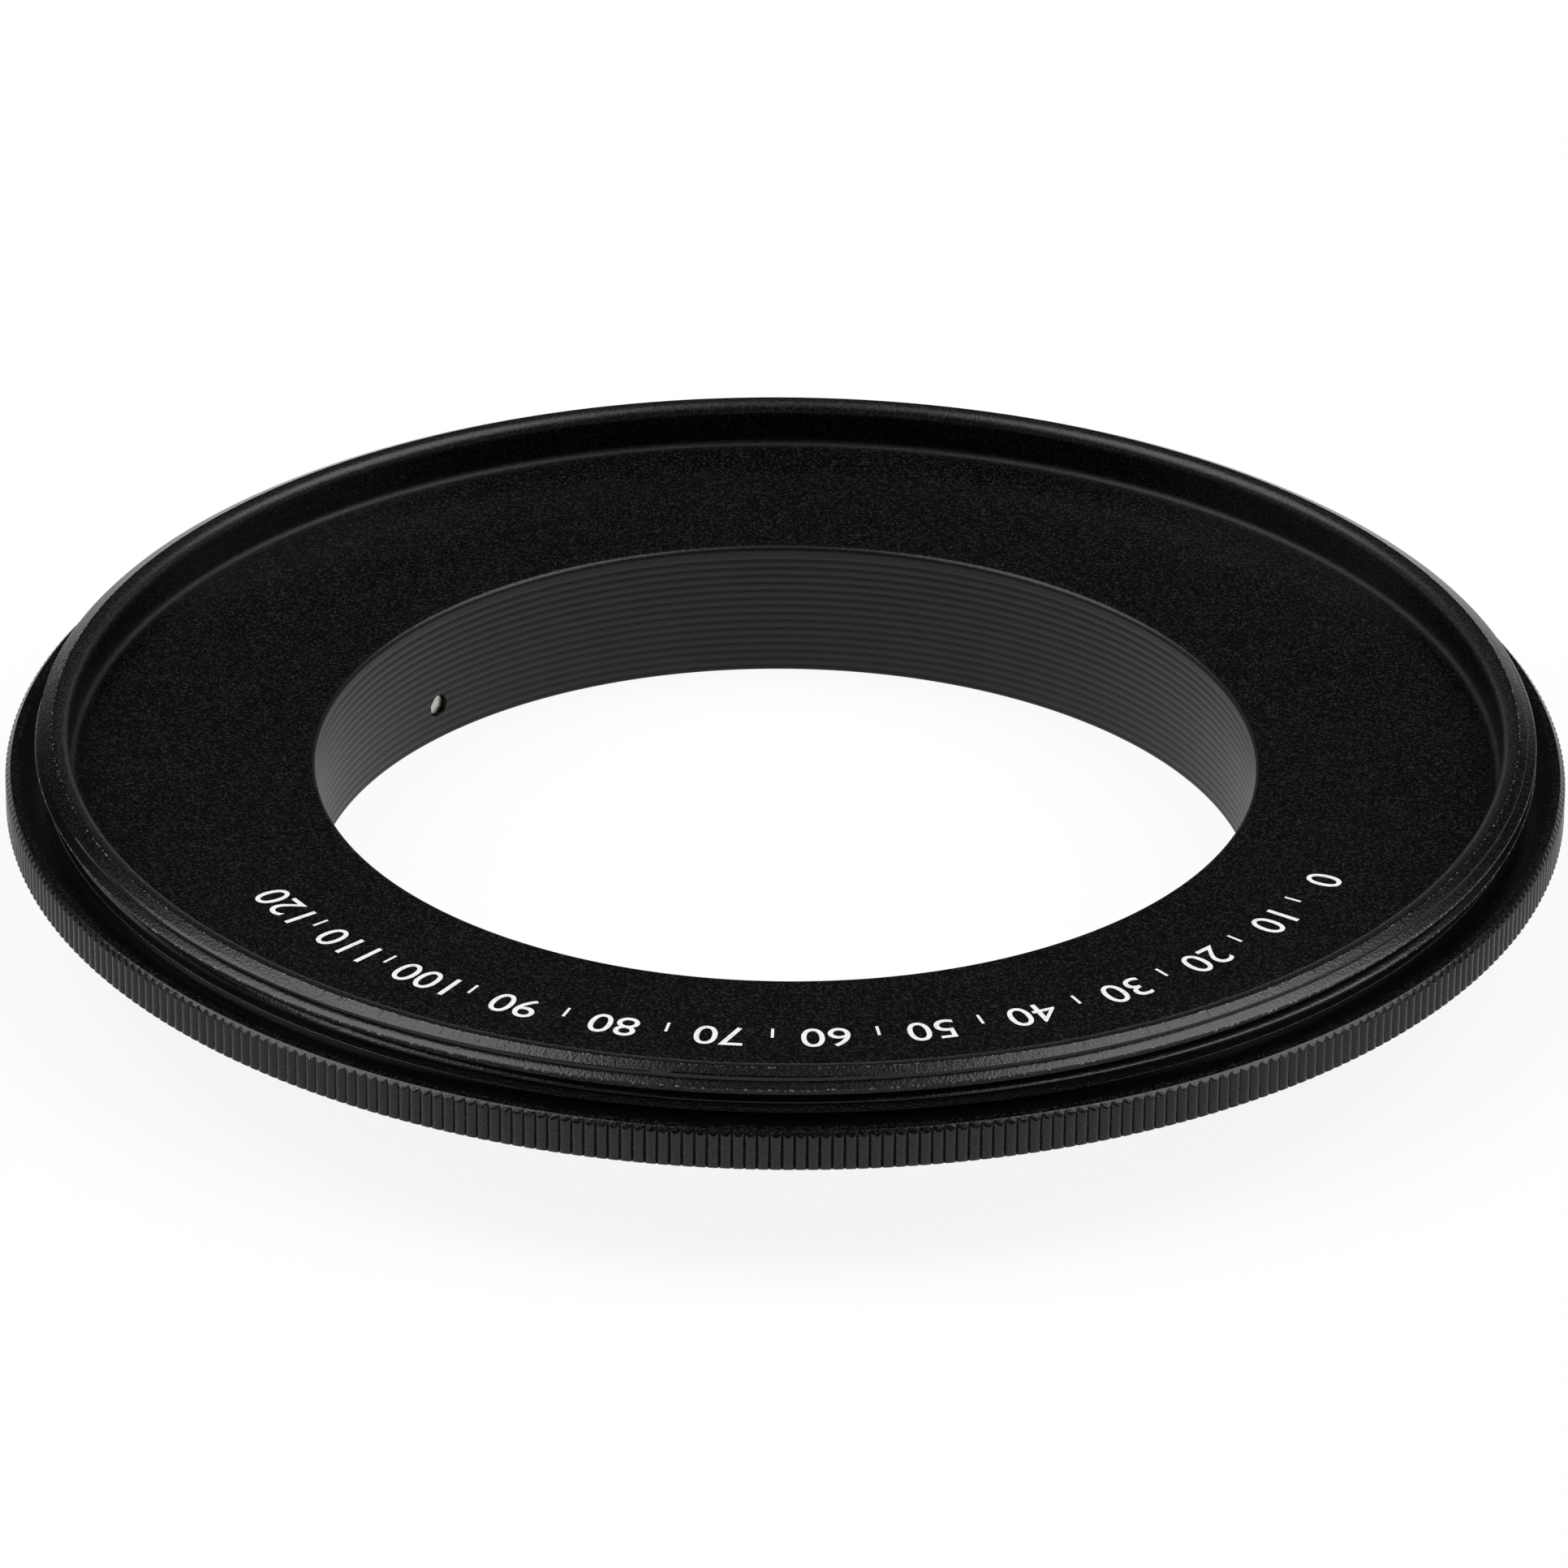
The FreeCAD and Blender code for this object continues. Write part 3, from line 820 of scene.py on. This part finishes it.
class RING_OT_scale(bpy.types.Operator):
    """Print the white scale: plain numbers with ticks between them"""

    bl_idname = "ring.scale"
    bl_label = "Scale"

    def execute(self, context):
        scene = context.scene
        s, c = scene.ring_turned, scene.ring_scale
        size = c.digit / self.outline("0", 1.0, 0.0)[1]
        groups, points, first = [], [], 0
        for number in range(c.numbers):
            flat, _, faces = self.outline(str(number * c.value_step), size, c.ink)
            middle = (flat[:, 0].min() + flat[:, 0].max()) / 2
            points.append(self.bent(flat - [middle, 0, 0], c.start - number * c.step, s, c))
            groups += [face + first for face in faces]
            first += len(flat)
        ticks = self.tick_marks(c, s)
        points.append(ticks)
        box = np.array([(0, 3, 2, 1), (4, 5, 6, 7), (0, 1, 5, 4), (1, 2, 6, 5), (2, 3, 7, 6),
                        (3, 0, 4, 7)])
        starts = first + np.arange(len(ticks) // 8)[:, None, None] * 8
        mesh = mesh_from("scale", np.concatenate(points), *[g[None] for g in groups],
                         (starts + box).reshape(-1, 4))
        mesh.polygons.foreach_set("use_smooth", np.zeros(len(mesh.polygons), dtype=bool))
        add_piece("printed_scale", mesh, ink(), node=None)
        return {"FINISHED"}

    @staticmethod
    def outline(text, size, thickness):
        """The text as a mesh: its points, its height and its faces."""
        curve = bpy.data.curves.new("number", "FONT")
        curve.body, curve.size, curve.resolution_u = text, size, 6
        curve.extrude = thickness / 2
        item = bpy.data.objects.new("number", curve)
        bpy.context.scene.collection.objects.link(item)
        graph = bpy.context.evaluated_depsgraph_get()
        mesh = bpy.data.meshes.new_from_object(item.evaluated_get(graph))
        points = np.empty(len(mesh.vertices) * 3)
        mesh.vertices.foreach_get("co", points)
        points = points.reshape(-1, 3)
        faces = [np.array(face.vertices[:]) for face in mesh.polygons]
        bpy.data.objects.remove(item)
        bpy.data.meshes.remove(mesh)
        return points, np.ptp(points[:, 1]), faces

    @staticmethod
    def bent(flat, direction, s, c):
        """Flat lettering (x, y) laid round the ring with its top outwards: the radius is the
        foot's radius plus y, and the angle falls by x over the radius at half height."""
        r = c.foot + flat[:, 1]
        t = direction - flat[:, 0] / (c.foot + c.digit / 2)
        return np.column_stack([r * np.cos(t), r * np.sin(t),
                                s.front + flat[:, 2] + 0.4 * c.ink])

    def tick_marks(self, c, s):
        """Eight corners for each tick: a thin bar that stands on the numbers' foot line."""
        between = (np.arange(c.ticks) + 1) / (c.ticks + 1)
        turn = (np.arange(c.numbers - 1)[:, None] + between).ravel() * c.step
        side = np.array([-1, 1, 1, -1, -1, 1, 1, -1]) * c.tick_width / 2
        along = np.array([0, 0, 1, 1, 0, 0, 1, 1]) * c.tick
        up = np.repeat([-0.5, 0.5], 4) * c.ink
        flat = np.stack(np.broadcast_arrays(side, along, up), -1)
        t = np.repeat(c.start - turn, 8)
        flat = np.tile(flat, (len(turn), 1))
        return self.bent(flat, t, s, c)


class RING_OT_index(bpy.types.Operator):
    """Fill the index mark with red paint, its face hollow as paint dries in a mark"""

    bl_idname = "ring.index"
    bl_label = "Index paint"

    def execute(self, context):
        scene = context.scene
        s, m = scene.ring_turned, scene.ring_mount
        play, overlap, hollow = 0.995, 0.02 * MM, 0.12 * MM
        radius, low = m.index_width / 2 * play, s.under + m.paint_depth
        top = s.under + m.index_depth + overlap
        t = np.linspace(0, 1, 12)
        meniscus = np.column_stack([radius * t, low + hollow * (1 - t ** 6)])
        path = np.concatenate([meniscus, [(radius, top), (0, top)]])
        drop = lathe("index_paint", path, 48)
        moved(drop, np.eye(3), outwards_at(m.lug_centre)[0] * m.index_radius)
        even_shading(add_piece("index_paint", drop, paint(), node=None))
        return {"FINISHED"}


class RING_OT_stage(bpy.types.Operator):
    """Set the camera, the two softboxes, the dim card, the dark room and the pale floor"""

    bl_idname = "ring.stage"
    bl_label = "Stage"

    def execute(self, context):
        scene = context.scene
        stage = scene.ring_stage
        self.camera(scene, stage)
        self.floor(scene, stage)
        aside, behind, above, size = 0.62, 0.06, 0.88, 0.86
        card_place, card_size = (0.0, 0.85, 0.85), 0.7
        room_tone, room_strength = (0.9, 0.95, 1.0, 1.0), 0.004
        self.softbox(scene, "softbox_left", (-aside, behind, above), size, stage.softbox)
        self.softbox(scene, "softbox_right", (aside, behind, above), size, stage.softbox)
        self.softbox(scene, "card_back", card_place, card_size, stage.back_card)
        world = scene.world or bpy.data.worlds.new("room")
        scene.world = world
        shader = Shader(world)
        light = shader.node("ShaderNodeBackground", None,
                            {"Color": room_tone, "Strength": room_strength})
        shader.node("ShaderNodeOutputWorld", None, {"Surface": light})
        scene.view_settings.view_transform = "Standard"
        return {"FINISHED"}

    @staticmethod
    def camera(scene, stage):
        """Looks along (0, cos e, -sin e) from its distance, offset in its own plane."""
        e, turn = stage.elevation, stage.roll
        right, up = np.array([1.0, 0, 0]), np.array([0, sin(e), cos(e)])
        back = np.array([0, -cos(e), sin(e)])
        place = (back * stage.distance + right * stage.shift_right + up * stage.shift_up
                 + [0, 0, stage.aim_height])
        axes = np.eye(4)
        axes[:3, 0] = cos(turn) * right + sin(turn) * up
        axes[:3, 1] = cos(turn) * up - sin(turn) * right
        axes[:3, 2], axes[:3, 3] = back, place
        data = bpy.data.cameras.new("camera")
        data.sensor_width, data.lens = SENSOR, stage.lens
        data.clip_start, data.clip_end = 0.01, 20.0
        camera = bpy.data.objects.new("camera", data)
        camera.matrix_world = axes.T.tolist()
        scene.collection.objects.link(camera)
        scene.camera = camera

    @staticmethod
    def softbox(scene, name, place, size, power):
        """A square lamp that faces the ring."""
        data = bpy.data.lights.new(name, "AREA")
        data.size, data.energy = size, power
        lamp = bpy.data.objects.new(name, data)
        back = unit(np.array(place))
        right = unit(np.cross([0, 0, 1], back))
        axes = np.eye(4)
        axes[:3, 0], axes[:3, 1], axes[:3, 2] = right, np.cross(back, right), back
        axes[:3, 3] = place
        lamp.matrix_world = axes.T.tolist()
        lamp.visible_camera = False
        scene.collection.objects.link(lamp)

    @staticmethod
    def floor(scene, stage):
        """A disc that curves up into a low wall: with r past the flat, the height grows as
        the square of what lies beyond it."""
        flat, reach, steepness, columns = 2.4, 3.2, 0.6, 96
        r = np.concatenate([[0.0], np.linspace(0.3, flat, 8), np.linspace(2.5, reach, 15)])
        z = np.maximum(r - flat, 0) ** 2 * steepness
        angles = np.arange(columns) * 2 * pi / columns
        mesh = mesh_from("floor", revolve(np.column_stack([r, z]), angles),
                         grid_faces(columns, len(r))[:, ::-1])
        poles_merged(mesh, closed=False)
        material = bpy.data.materials.new("floor")
        shader = Shader(material)
        seen = shader.node("ShaderNodeLightPath")
        plain = shader.node("ShaderNodeBsdfDiffuse", None,
                            {"Color": (*scene.ring_finishes.floor, 1.0)})
        white = shader.node("ShaderNodeEmission", None,
                            {"Color": (1.0, 1.0, 1.0, 1.0), "Strength": 1.0})
        looked_at = (seen["Is Camera Ray"] + seen["Is Glossy Ray"]
                     + seen["Is Transmission Ray"]).maths("MINIMUM", 1.0)
        mixed = shader.node("ShaderNodeMixShader", None,
                            {0: looked_at * stage.floor_glow, 1: plain, 2: white})
        shader.node("ShaderNodeOutputMaterial", None, {"Surface": mixed})
        mesh.materials.append(material)
        floor = bpy.data.objects.new("floor", mesh)
        scene.collection.objects.link(floor)


class RING_PT_pieces(bpy.types.Panel):
    """The ring's pieces and sizes"""

    bl_label = "Macro reverse ring"
    bl_idname = "RING_PT_pieces"
    bl_space_type = "VIEW_3D"
    bl_region_type = "UI"
    bl_category = "Ring"

    def draw(self, context):
        for operator in OPERATORS:
            self.layout.operator(operator.bl_idname)
        for name in GROUPS:
            box = self.layout.box()
            group = getattr(context.scene, name)
            for key in group.__annotations__:
                box.prop(group, key)


GROUPS = {
    "ring_turned": TurnedSizes, "ring_grip": GripSizes, "ring_thread": ThreadSizes,
    "ring_mount": MountSizes, "ring_pin": PinSizes, "ring_scale": ScaleSizes,
    "ring_finishes": Finishes, "ring_stage": StageSizes,
}
OPERATORS = (RING_OT_body, RING_OT_thread, RING_OT_pin, RING_OT_scale, RING_OT_index,
             RING_OT_stage)
CLASSES = (*GROUPS.values(), *OPERATORS, RING_PT_pieces)


def register():
    for item in CLASSES:
        bpy.utils.register_class(item)
    for name, group in GROUPS.items():
        setattr(bpy.types.Scene, name, PointerProperty(type=group))


def unregister():
    for name in GROUPS:
        delattr(bpy.types.Scene, name)
    for item in reversed(CLASSES):
        bpy.utils.unregister_class(item)


def main():
    """Builds the whole scene."""
    register()
    for operator in OPERATORS:
        group, name = operator.bl_idname.split(".")
        getattr(getattr(bpy.ops, group), name)()


if __name__ == "__main__":
    main()
